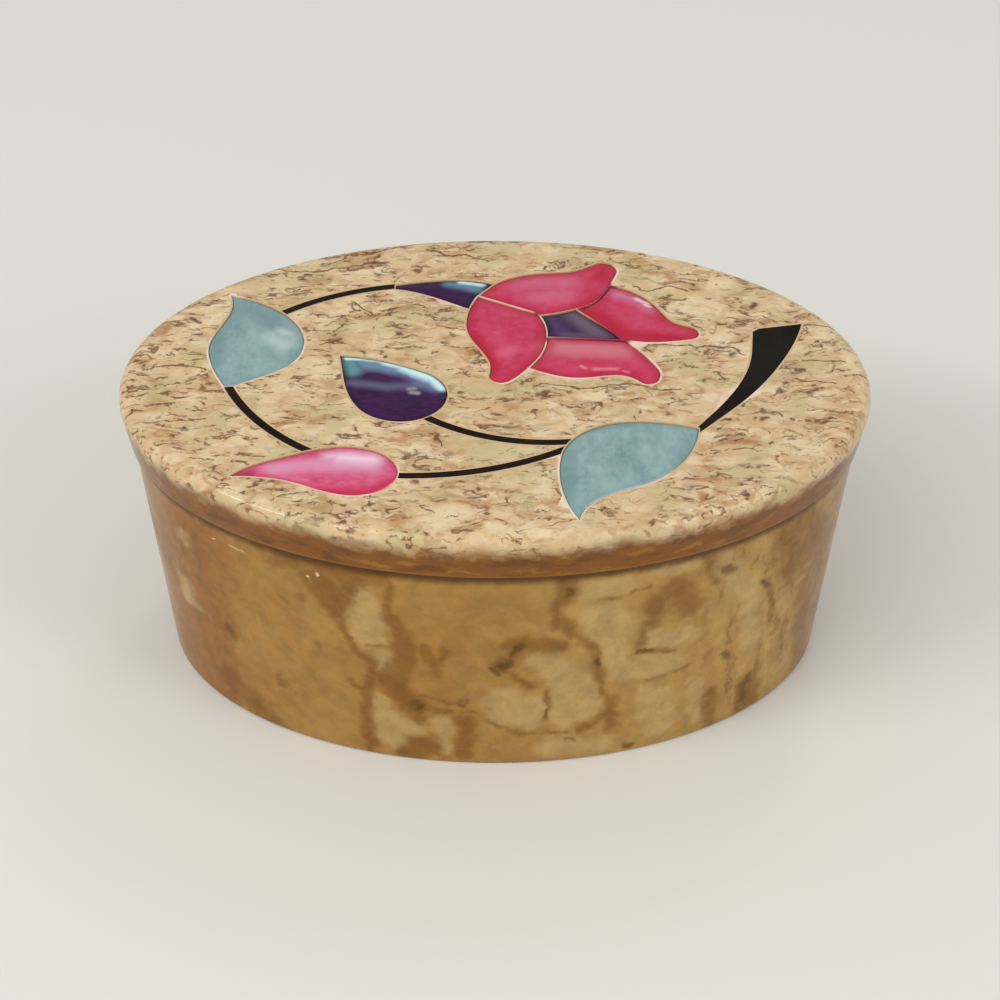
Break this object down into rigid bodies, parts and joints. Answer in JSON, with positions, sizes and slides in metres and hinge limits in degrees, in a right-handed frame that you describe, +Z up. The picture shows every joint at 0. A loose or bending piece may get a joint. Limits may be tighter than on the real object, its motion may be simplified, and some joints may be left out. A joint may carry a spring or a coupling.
{
  "type": "oval stone keepsake box",
  "caption": "Oval carved stone box with a loose lift-off lid, its top inlaid with a flower spray in shell and black stone.",
  "frame": {"origin": "centre of the base's underside", "axes": "+X along the long axis, to the right as seen from the front; +Z up; the front, which the flower spray faces, is -Y"},
  "size_m": [0.127, 0.09, 0.0531],
  "materials": {
    "soapstone_base": "polished",
    "soapstone_lid": "polished",
    "cement": "matte",
    "black_stone": "honed",
    "blue_green_shell": "pearly",
    "violet_shell": "pearly",
    "pink_shell": "pearly",
    "red_shell": "pearly"
  },
  "bodies": {
    "base": {"box_base": "soapstone_base"},
    "lid": {"lid_slab": "soapstone_lid", "setting_cement": "cement", "stem_upper": "black_stone", "stem_left": "black_stone", "stem_lower": "black_stone", "stem_branch": "black_stone", "flared_stalk": "black_stone", "leaf_left": "blue_green_shell", "leaf_right": "blue_green_shell", "leaf_purple": "violet_shell", "flower_bud": "pink_shell", "flower_calyx": "violet_shell", "petal_front": "red_shell", "petal_top": "red_shell", "petal_right": "red_shell", "petal_lower": "red_shell", "flower_heart": "violet_shell"}
  },
  "joints": [
    {"name": "lid_lift", "type": "slide", "parent": "base", "child": "lid", "axis": [0, 0, 1], "range_m": [0, 0.06]}
  ]
}
